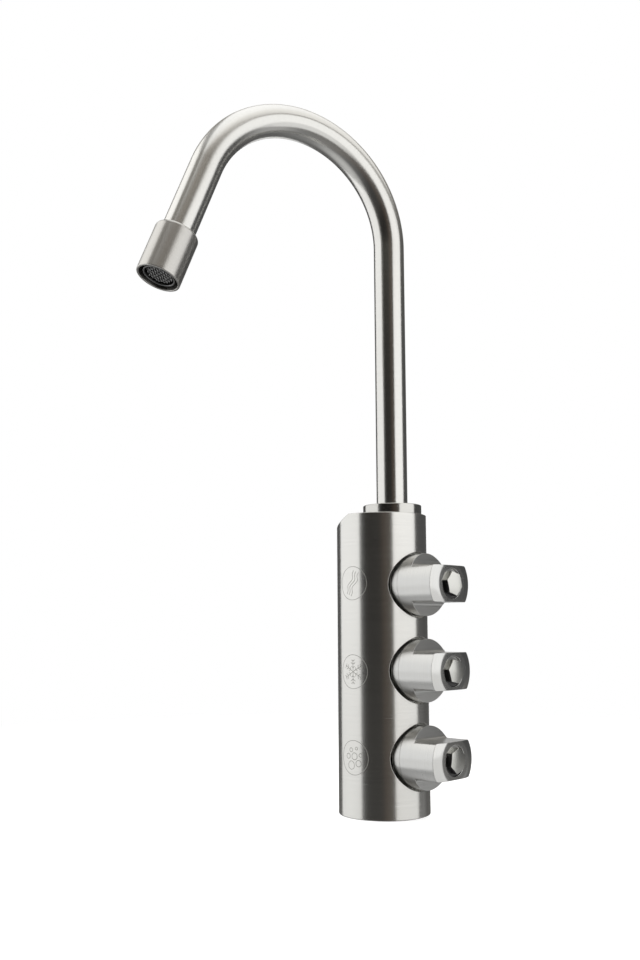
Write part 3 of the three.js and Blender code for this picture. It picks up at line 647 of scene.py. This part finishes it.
def aerator():
    axis = [(aerator_frame.translation, aerator_frame.to_3x3() @ Z_AXIS)]
    upper, lower = SLEEVE_LEDGE
    shell = turned("spout_sleeve", rounded([
        (SLEEVE_START, TUBE_HOLE, 0), (SLEEVE_START, SLEEVE_RADIUS, SLEEVE_ROUNDING),
        (SLEEVE_END, SLEEVE_RADIUS, 0.3), (SLEEVE_END, SLEEVE_INNER, 0.2), (lower, SLEEVE_INNER, 0),
        (lower, TUBE_BORE, 0), (upper, TUBE_BORE, 0), (upper, TUBE_HOLE, 0)], 7), 160, aerator_frame)
    finish_surface(shell, axis)
    place_piece(shell, "spout", shell_steel, "brushed_steel", "aerator_shell")
    ring = turned("aerator_ring", rounded([
        (CAGE_START, CAGE_HOLE, 0), (CAGE_START, CAGE_FLANGE_RADIUS, 0),
        (CAGE_FLANGE, CAGE_FLANGE_RADIUS, 0.2), (CAGE_FLANGE, CAGE_OUTER, 0), (CAGE_END, CAGE_OUTER, 0.25),
        (CAGE_END, CAGE_INNER, 0.25), (CAGE_FLOOR, CAGE_INNER, 0), (CAGE_FLOOR, CAGE_HOLE, 0)],
        4), 128, aerator_frame)
    finish_surface(ring, axis)
    place_piece(ring, "spout", cage_steel, "polished_steel", "aerator_cage")
    screen()


def screen(steps=6, sides=6):
    """Woven wires across the cage: each goes over and under its neighbours in turn."""
    limit, pitch, wire = SCREEN_RADIUS, SCREEN_PITCH, SCREEN_WIRE
    turn = Matrix.Rotation(math.radians(SCREEN_TURN), 4, "Z")
    count = int(limit / pitch)
    points, faces = [], []
    for way in (0, 1):
        for line in range(-count, count + 1):
            offset = line * pitch
            reach = math.sqrt(limit**2 - offset**2)
            cells = max(1, int(reach / pitch)) * 2
            stations = cells * steps
            ring_at = []
            for i in range(stations + 1):
                run = -cells / 2 * pitch + i * pitch / steps
                phase = math.pi * (run / pitch + line + way)
                lift = 0.55 * wire * math.sin(phase + math.pi / 2)
                base = SCREEN_PLACE + lift
                ring_at.append(len(points))
                for k in range(sides):
                    angle = 2 * math.pi * k / sides
                    side = offset + wire / 2 * math.cos(angle)
                    up = base + wire / 2 * math.sin(angle)
                    local = Vector((run, side, up)) if way == 0 else Vector((side, run, up))
                    points.append(aerator_frame @ (turn @ local))
            for a, b in zip(ring_at, ring_at[1:]):
                faces += [(a + k, a + (k + 1) % sides, b + (k + 1) % sides, b + k) for k in range(sides)]
            faces.append([ring_at[0] + k for k in range(sides)])
            faces.append([ring_at[-1] + k for k in reversed(range(sides))])
    obj = make("woven_screen", points, faces)
    face_out(obj)
    obj.data.polygons.foreach_set("use_smooth", np.ones(len(obj.data.polygons), bool))
    place_piece(obj, "spout", wire_steel, "screen_steel", "aerator_screen")


def grip_cutter(height, side):
    """What is milled off above or below the grip, with a filleted root."""
    far, wide, steps = 30.0, 25.0, 12
    outline = [(KNOB_STEP - STEP_LEAN, far), (GRIP_START, GRIP_HALF + GRIP_FILLET)]
    for k in range(1, steps + 1):
        angle = math.pi + math.pi / 2 * k / steps
        outline.append((
            GRIP_START + GRIP_FILLET + GRIP_FILLET * math.cos(angle),
            GRIP_HALF + GRIP_FILLET + GRIP_FILLET * math.sin(angle),
        ))
    outline += [(BEYOND, GRIP_HALF), (BEYOND, far)]
    return prism("grip_cutter", [
        [(x, RISER[1] + y, height + side * z) for x, z in outline] for y in (-wide, wide)])


def corner_cutter(height, up, across, rounding=1.5, steps=5):
    """What is rounded off where a flat of the grip meets its round side."""
    inner = KNOB_RADIUS - rounding
    level = GRIP_HALF - rounding
    centre = Vector((math.sqrt(inner**2 - level**2), level))
    first, last = math.pi / 2, math.atan2(level, centre.x)
    outline = []
    for k in range(steps + 1):
        angle = first + (last - first) * k / steps
        outline.append(centre + Vector((math.cos(angle), math.sin(angle))) * rounding)
    far = 20.0
    outline += [Vector((far, outline[-1].y * 1.2)), Vector((far, far)), Vector((outline[0].x, far))]
    return prism("corner_cutter", [
        [(x, RISER[1] + across * u, height + up * v) for u, v in outline] for x in (KNOB_STEP + 0.6, BEYOND)])


def knob(name, height):
    place = on_axis((0, RISER[1], height), X_AXIS)
    crown = []
    for share in np.linspace(0.96, 0, 9):
        rise = (KNOB_FACE - KNOB_RIM) * (1 - share**1.6)
        crown.append((KNOB_RIM + rise, KNOB_RADIUS - CROWN_WIDTH * (1 - share), 0))
    floor_x, hollow = KNOB_HOLLOW
    hub_x, hub = HUB_HOLE
    spindle_x, spindle = SPINDLE_HOLE
    profile = rounded([
        (KNOB_BACK, hollow, 0), (KNOB_BACK, KNOB_BACK_RADIUS, 0.5), (18.6, 13.2, 0), (18.9, KNOB_RADIUS, 0.1),
        (KNOB_RIM, KNOB_RADIUS, 0), *crown,
        (KNOB_FACE, POCKET_RADIUS, 0.15), (SCREW_SEAT, POCKET_RADIUS, 0.3), (SCREW_SEAT, SCREW_HOLE, 0),
        (spindle_x, SCREW_HOLE, 0), (spindle_x, spindle, 0), (hub_x, spindle, 0), (hub_x, hub, 0),
        (floor_x, hub, 0), (floor_x, hollow, 0)], 6)
    obj = turned(f"handle_{name}", [tuple(p) for p in profile], 240, place)
    combine(obj, [grip_cutter(height, 1), grip_cutter(height, -1)])
    combine(obj, [corner_cutter(height, up, across) for up in (1, -1) for across in (1, -1)])
    finish_surface(obj, [((0, RISER[1], height), X_AXIS)])
    place_piece(obj, f"handle_{name}", knob_steel, "brushed_steel", f"knob_{name}")
    obj.data.materials.append(painted_shade_steel)
    obj.data.materials.append(face_steel)
    for face in obj.data.polygons:
        x, y, z = face.center / MM
        # Painted shade: the pocket's faces on its lower, -Y side get the darker steel and the rest keep the
        # knob's steel; the end face gets its own steel.
        inside = math.hypot(y - RISER[1], z - height) < POCKET_RADIUS + 0.05
        low = z - height < 0.5 * (RISER[1] - y) - 0.5
        if inside and x < KNOB_FACE - 0.03:
            face.material_index = 1 if low else 0
        elif x > KNOB_RIM and face.normal.x > 0.5:
            face.material_index = 2


def lean_end(obj, degrees):
    """Turns the normals of the screw's outer end about the vertical, as if it weren't quite square."""
    turn = Matrix.Rotation(-math.radians(degrees), 3, "Z")
    mesh = obj.data
    split = []
    for corner in mesh.corner_normals:
        normal = corner.vector.copy()
        split.append(tuple(turn @ normal if normal.x > 0.8 else normal))
    mesh.normals_split_custom_set(split)


def screw(name, height):
    place = on_axis((0, RISER[1], height), X_AXIS)
    corner = SCREW_FLATS / math.sqrt(3)
    turn = Matrix.Rotation(math.radians(SCREW_TURN[name]), 4, "Z")
    start, end = SCREW_SEAT + 0.02, SCREW_END
    bar = [(start, 0), (start, corner), (end, corner), (end, 0)]
    head = turned(f"hexagon_{name}", bar, 6, place @ turn)
    dome = [(start - 1, 0), (start - 1, corner + 1), (end - 0.75, corner + 0.9)]
    dome += [(end - 0.45 * share**2.0, (corner + 0.3) * share) for share in np.linspace(1, 0, 14)]
    combine(head, [turned("dome", dome, 120, place)], "INTERSECT")
    combine(head, [rod("shank", place, SCREW_SEAT - SHANK_LENGTH, start + 0.5, SHANK_RADIUS, 48)], "UNION")
    finish_surface(head, [((0, RISER[1], height), X_AXIS)], sharp=28)
    lean_end(head, SCREW_LEAN[name])
    place_piece(head, f"handle_{name}", screw_steel, "polished_steel", f"knob_screw_{name}")
    head.data.materials.append(painted_shade_steel)
    # Painted shade: the hexagon's side facets that don't face up get the darker steel.
    for face in head.data.polygons:
        face.material_index = int(abs(face.normal.x) < 0.2 and face.normal.z < 0.35)


# ---------------------------------------------------------------- etched marks

MARK_AZIMUTH = 0.5
MARK_HEIGHTS = {"hot": 99.7, "cold": 61.8, "sparkling": 25.6}
MARK_RADIUS = 7.2
MARK_LINE = 0.25
MARK_RING = 0.24
MARK_LEVEL = 0.02  # above the column's surface


def subdivided(path, closed, longest=0.5):
    """The same line with more points, so that it follows the round surface."""
    out = []
    for i, here in enumerate(path):
        out.append(here)
        if i == len(path) - 1 and not closed:
            break
        there = path[(i + 1) % len(path)]
        count = math.ceil(math.dist(here, there) / longest)
        out += [(here[0] + (there[0] - here[0]) * k / count, here[1] + (there[1] - here[1]) * k / count)
                for k in range(1, count)]
    return out


def stroke(points, faces, path, width, closed=False):
    """Adds a thin line on the column, a flat bar bent to its surface, from (across, up) places."""
    path = subdivided(path, closed)
    n = len(path)
    base = len(points)
    for i, (u, v) in enumerate(path):
        before = path[i - 1] if closed or i > 0 else path[i]
        after = path[(i + 1) % n] if closed or i < n - 1 else path[i]
        along = Vector((after[0] - before[0], after[1] - before[1])).normalized()
        side = Vector((-along.y, along.x)) * (width / 2)
        for sign, level in ((-1, MARK_LEVEL), (1, MARK_LEVEL), (1, -0.1), (-1, -0.1)):
            angle = math.radians(MARK_AZIMUTH) + (u + sign * side.x) / COLUMN_RADIUS
            radius = COLUMN_RADIUS + level
            points.append((radius * math.sin(angle), -radius * math.cos(angle), v + sign * side.y))
    for i in range(n if closed else n - 1):
        a, b = base + 4 * i, base + 4 * ((i + 1) % n)
        faces += [(a + k, a + (k + 1) % 4, b + (k + 1) % 4, b + k) for k in range(4)]
    if not closed:
        last = base + 4 * (n - 1)
        faces += [(base, base + 1, base + 2, base + 3), (last + 3, last + 2, last + 1, last)]


def circle(u, v, radius, steps=None):
    steps = steps or max(20, int(radius * 14))
    turns = [2 * math.pi * k / steps for k in range(steps)]
    return [(u + radius * math.cos(turn), v + radius * math.sin(turn)) for turn in turns]


def mark_hot(z):
    """Three waves that rise side by side."""
    lines = []
    for u in (-1.3, 0.0, 1.3):
        wave = []
        for k in range(31):
            share = k / 30
            bend = share * share * (3 - 2 * share)
            sway = 0.55 * math.sin(4 * math.pi * share)
            wave.append((u - 2.1 + 4.2 * bend + sway, z - 5.0 + 10.0 * share - 0.35 * u))
        lines.append((wave, False))
    return lines


def mark_cold(z):
    """A six-armed crystal."""
    lines = []
    for k in range(6):
        angle = math.pi / 6 + math.pi * k / 3
        out = Vector((math.cos(angle), math.sin(angle)))
        lines.append(([(0, z), (5.2 * out.x, z + 5.2 * out.y)], False))
        for reach, length in ((1.7, 1.1), (3.1, 1.5), (4.4, 1.2)):
            tips = []
            for turn in (1, -1):
                lean = angle + turn * math.radians(55)
                across, up = length * math.cos(lean), length * math.sin(lean)
                tips.append((reach * out.x + across, z + reach * out.y + up))
            lines.append(([tips[0], (reach * out.x, z + reach * out.y), tips[1]], False))
    return lines


def mark_sparkling(z):
    """Bubbles of several sizes, the small ones on top."""
    bubbles = [(-1.4, -3.2, 1.75), (2.5, -2.3, 1.35), (-3.2, 0.5, 1.1), (0.4, 0.6, 1.45),
               (3.6, 1.2, 0.8), (-1.5, 3.2, 0.85), (1.5, 3.9, 0.6)]
    return [(circle(u, z + v, r), True) for u, v, r in bubbles]


def marks():
    for name, draw in (("hot", mark_hot), ("cold", mark_cold), ("sparkling", mark_sparkling)):
        z = MARK_HEIGHTS[name]
        points, faces = [], []
        stroke(points, faces, circle(0, z, MARK_RADIUS, 120), MARK_RING, closed=True)
        for path, closed in draw(z):
            stroke(points, faces, path, MARK_LINE, closed)
        obj = make(f"mark_{name}", points, faces)
        face_out(obj)
        place_piece(obj, "base", etched, "brushed_steel")


# ---------------------------------------------------------------- studio

# the photograph's camera, fitted to the column's edges
CAMERA_AT = Vector((284.43, -333.03, 81.58)) * MM
VIEW_AZIMUTH = math.radians(40.5)
YAW, PITCH, ROLL = -0.0631, 0.1014, -0.0055  # radians, from the way towards the column
FRAME_HEIGHT = 960  # pixels, as the next two
FOCAL_LENGTH = 975.67
SHIFT = 46.23
SENSOR = 36.0


def camera():
    ahead = Vector((math.sin(YAW) * math.cos(PITCH), math.cos(YAW) * math.cos(PITCH), math.sin(PITCH)))
    level = Vector((math.cos(YAW), -math.sin(YAW), 0))
    upright = level.cross(ahead)
    right = level * math.cos(ROLL) + upright * math.sin(ROLL)
    up = upright * math.cos(ROLL) - level * math.sin(ROLL)
    turn = Matrix.Rotation(VIEW_AZIMUTH, 3, "Z")
    axes = [turn @ right, turn @ up, turn @ -ahead]
    data = bpy.data.cameras.new("photo_camera")
    data.sensor_fit = "VERTICAL"
    data.sensor_height = SENSOR
    data.sensor_width = SENSOR
    data.lens = FOCAL_LENGTH / FRAME_HEIGHT * SENSOR
    data.shift_y = SHIFT / FRAME_HEIGHT
    data.clip_start, data.clip_end = 0.01, 60.0
    cam = bpy.data.objects.new("photo_camera", data)
    bpy.context.scene.collection.objects.link(cam)
    rotation = Matrix([[axes[c][r] for c in range(3)] for r in range(3)]).to_4x4()
    cam.matrix_world = Matrix.Translation(CAMERA_AT) @ rotation
    bpy.context.scene.camera = cam


# Brightness of the room, by azimuth from the camera's side, and what is added by elevation. The narrow
# peak at -57.5 softens the edge of the left softbox.
WALLS = [
    (-180, grey(0.11)), (-140, grey(0.085)), (-59, grey(0.07)), (-57.5, grey(0.2)), (-50, grey(0.05)),
    (-40, (0.013, 0.012, 0.011)), (-6, (0.016, 0.015, 0.014)), (6, (0.06, 0.044, 0.034)),
    (24, (0.09, 0.08, 0.07)), (104, grey(0.08)), (145, grey(0.09)), (180, grey(0.11))]
ABOVE = [
    (-90, grey(0.2)), (-52, grey(0.15)), (-37, grey(0.09)), (-24, grey(0.03)), (-16, grey(0.05)),
    (-10, (0.066, 0.062, 0.055)), (-5, grey(0.018)), (2, grey(0)), (17, grey(0)),
    (28, (0.08, 0.075, 0.066)), (38, (0.2, 0.185, 0.162)), (55, (0.27, 0.255, 0.23)),
    (70, grey(0.45)), (90, grey(0.5))]
TABLES = ((-100, -52, 40, 0.45), (112, -32, 26, 0.38))  # azimuth, elevation, reach, strength
BACKDROP_REACH = 12  # degrees


def towards(azimuth, elevation, distance):
    """A place round the object. Azimuth 0 is the camera's side, and positive is to its right."""
    a, e = VIEW_AZIMUTH + math.radians(azimuth), math.radians(elevation)
    return Vector((math.sin(a) * math.cos(e), -math.cos(a) * math.cos(e), math.sin(e))) * distance


def lamp(name, width, height, radiance, place, turn):
    """A rectangular lamp of the given radiance, with width and height in metres."""
    data = bpy.data.lights.new(name, "AREA")
    data.shape, data.size, data.size_y = "RECTANGLE", width, height
    data.energy = radiance * width * height * math.pi
    obj = bpy.data.objects.new(name, data)
    bpy.context.scene.collection.objects.link(obj)
    obj.location = place
    obj.rotation_euler = turn


def softbox(name, azimuth, distance, width, bottom, top, radiance):
    """An upright lamp that faces the object, from bottom to top in metres above the ground."""
    place = towards(azimuth, 0, distance) + Z_AXIS * ((bottom + top) / 2)
    turn = (-towards(azimuth, 0, 1)).to_track_quat("-Z", "Y").to_euler()
    lamp(name, width, top - bottom, radiance, place, turn)


def overhead(name, right, away, width, depth, height, radiance):
    """A level lamp above, at so many metres to the camera's right and away from the camera."""
    place = towards(90, 0, right) + towards(180, 0, away) + Z_AXIS * height
    lamp(name, width, depth, radiance, place, (0, 0, VIEW_AZIMUTH))


def studio():
    softbox("softbox_left", -94, 1.1, 1.62, 0.0, 1.95, 1.12)
    softbox("softbox_left_low", -94, 1.1, 1.62, -0.55, 0.0, 0.92)
    softbox("softbox_right", 61, 1.1, 1.42, 0.0, 0.9, 1.24)
    softbox("softbox_right_low", 61, 1.1, 1.42, -0.7, 0.0, 0.86)
    overhead("softbox_top", 0.6, -0.05, 2.1, 1.8, 1.5, 0.86)
    overhead("softbox_back", 0.0, 2.2, 1.0, 1.5, 1.75, 0.66)
    room()


def room():
    """The world: white where the camera looks past the object, and a dim room with a pale ground."""
    world = bpy.data.worlds.new("studio")
    world.use_nodes = True
    bpy.context.scene.world = world
    n = Nodes(world.node_tree)
    path = n.add("ShaderNodeLightPath")
    seen = n.math("ADD", path.outputs["Is Camera Ray"], path.outputs["Is Transmission Ray"], clamp=True)
    way = n.add("ShaderNodeTexCoord").outputs["Generated"]

    def along(direction):
        dot = n.add("ShaderNodeVectorMath", {0: way, 1: tuple(direction)}, operation="DOT_PRODUCT")
        return dot.outputs["Value"]

    def spot(azimuth, elevation, reach, strength):
        edge = math.cos(math.radians(reach))
        near = {"Value": along(towards(azimuth, elevation, 1)), "From Min": edge, "To Max": strength}
        return n.add("ShaderNodeMapRange", near).outputs[0]

    facing = along(towards(180, 0, 1))
    backdrop = n.math("GREATER_THAN", facing, math.cos(math.radians(BACKDROP_REACH)))
    white = n.math("MAXIMUM", seen, n.math("MULTIPLY", path.outputs["Is Glossy Ray"], backdrop))
    turn = n.math("ARCTAN2", along(towards(90, 0, 1)), along(towards(0, 0, 1)))
    share = n.math("ADD", n.math("DIVIDE", turn, 2 * math.pi), 0.5)
    walls = n.ramp(share, [(0.5 + az / 360, tone) for az, tone in WALLS])
    height = n.add("ShaderNodeSeparateXYZ", {0: way}).outputs["Z"]
    level = n.math("ADD", n.math("MULTIPLY", height, 0.5), 0.5)
    above = n.ramp(level, [(0.5 + math.sin(math.radians(el)) / 2, tone) for el, tone in ABOVE])
    tables = n.math("ADD", *[spot(*table) for table in TABLES])
    both = n.add("ShaderNodeVectorMath", {0: walls, 1: above}, operation="ADD").outputs["Vector"]
    both = n.add("ShaderNodeVectorMath", {0: both, 1: tables}, operation="ADD").outputs["Vector"]
    dim = n.add("ShaderNodeBackground", {"Color": both, "Strength": 1.0})
    bright = n.add("ShaderNodeBackground", {"Color": (1, 1, 1, 1), "Strength": 1.0})
    mix = n.add("ShaderNodeMixShader", {0: white, 1: dim.outputs[0], 2: bright.outputs[0]})
    n.add("ShaderNodeOutputWorld", {"Surface": mix.outputs[0]})


def floor():
    """A white ground that keeps the object's shadow. The steel's reflections look past it."""
    half = 20.0 / MM
    corners = [(-half, -half, -0.02), (half, -half, -0.02), (half, half, -0.02), (-half, half, -0.02)]
    obj = make("studio_floor", corners, [(0, 1, 2, 3)])
    mat, n = material("studio_floor")
    path = n.add("ShaderNodeLightPath")
    place = n.add("ShaderNodeTexCoord").outputs["Object"]
    reach = n.add("ShaderNodeVectorMath", {0: place}, operation="LENGTH").outputs["Value"]
    far = n.add("ShaderNodeMapRange", {"Value": reach, "From Min": 0.15, "From Max": 0.5},
                interpolation_type="SMOOTHSTEP").outputs[0]
    seen = n.math("ADD", path.outputs["Is Camera Ray"], path.outputs["Is Transmission Ray"], clamp=True)
    diffuse = n.add("ShaderNodeBsdfDiffuse", {"Color": (0.7, 0.7, 0.7, 1)})
    glow = n.add("ShaderNodeEmission", {"Strength": n.math("MULTIPLY", seen, 0.75)})
    near = n.add("ShaderNodeAddShader", {0: diffuse.outputs[0], 1: glow.outputs[0]})
    white = n.add("ShaderNodeEmission", {"Strength": seen})
    ground = n.add("ShaderNodeMixShader", {0: far, 1: near.outputs[0], 2: white.outputs[0]})
    clear = n.add("ShaderNodeBsdfTransparent")
    past = n.math("ADD", path.outputs["Is Glossy Ray"], path.outputs["Is Shadow Ray"], clamp=True)
    both = n.add("ShaderNodeMixShader", {0: past, 1: ground.outputs[0], 2: clear.outputs[0]})
    n.add("ShaderNodeOutputMaterial", {"Surface": both.outputs[0]})
    obj.data.materials.append(mat)


# ---------------------------------------------------------------- scene

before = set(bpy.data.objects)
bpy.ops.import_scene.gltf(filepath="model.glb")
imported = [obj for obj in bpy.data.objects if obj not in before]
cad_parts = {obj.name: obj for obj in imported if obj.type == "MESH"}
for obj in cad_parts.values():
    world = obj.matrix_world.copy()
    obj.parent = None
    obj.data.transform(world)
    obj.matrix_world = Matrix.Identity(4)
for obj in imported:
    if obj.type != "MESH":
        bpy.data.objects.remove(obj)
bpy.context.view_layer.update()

for node, mat in INNER.items():
    dress(node, mat)
for handle in HANDLES:
    for kind, mat in INNER_HANDLE.items():
        dress(f"{kind}_{handle}", mat)

column()
collar()
spout_tube()
aerator()
for handle, height in HANDLES.items():
    knob(handle, height)
    screw(handle, height)
marks()

camera()
studio()
floor()
bpy.context.scene.view_settings.view_transform = "Standard"
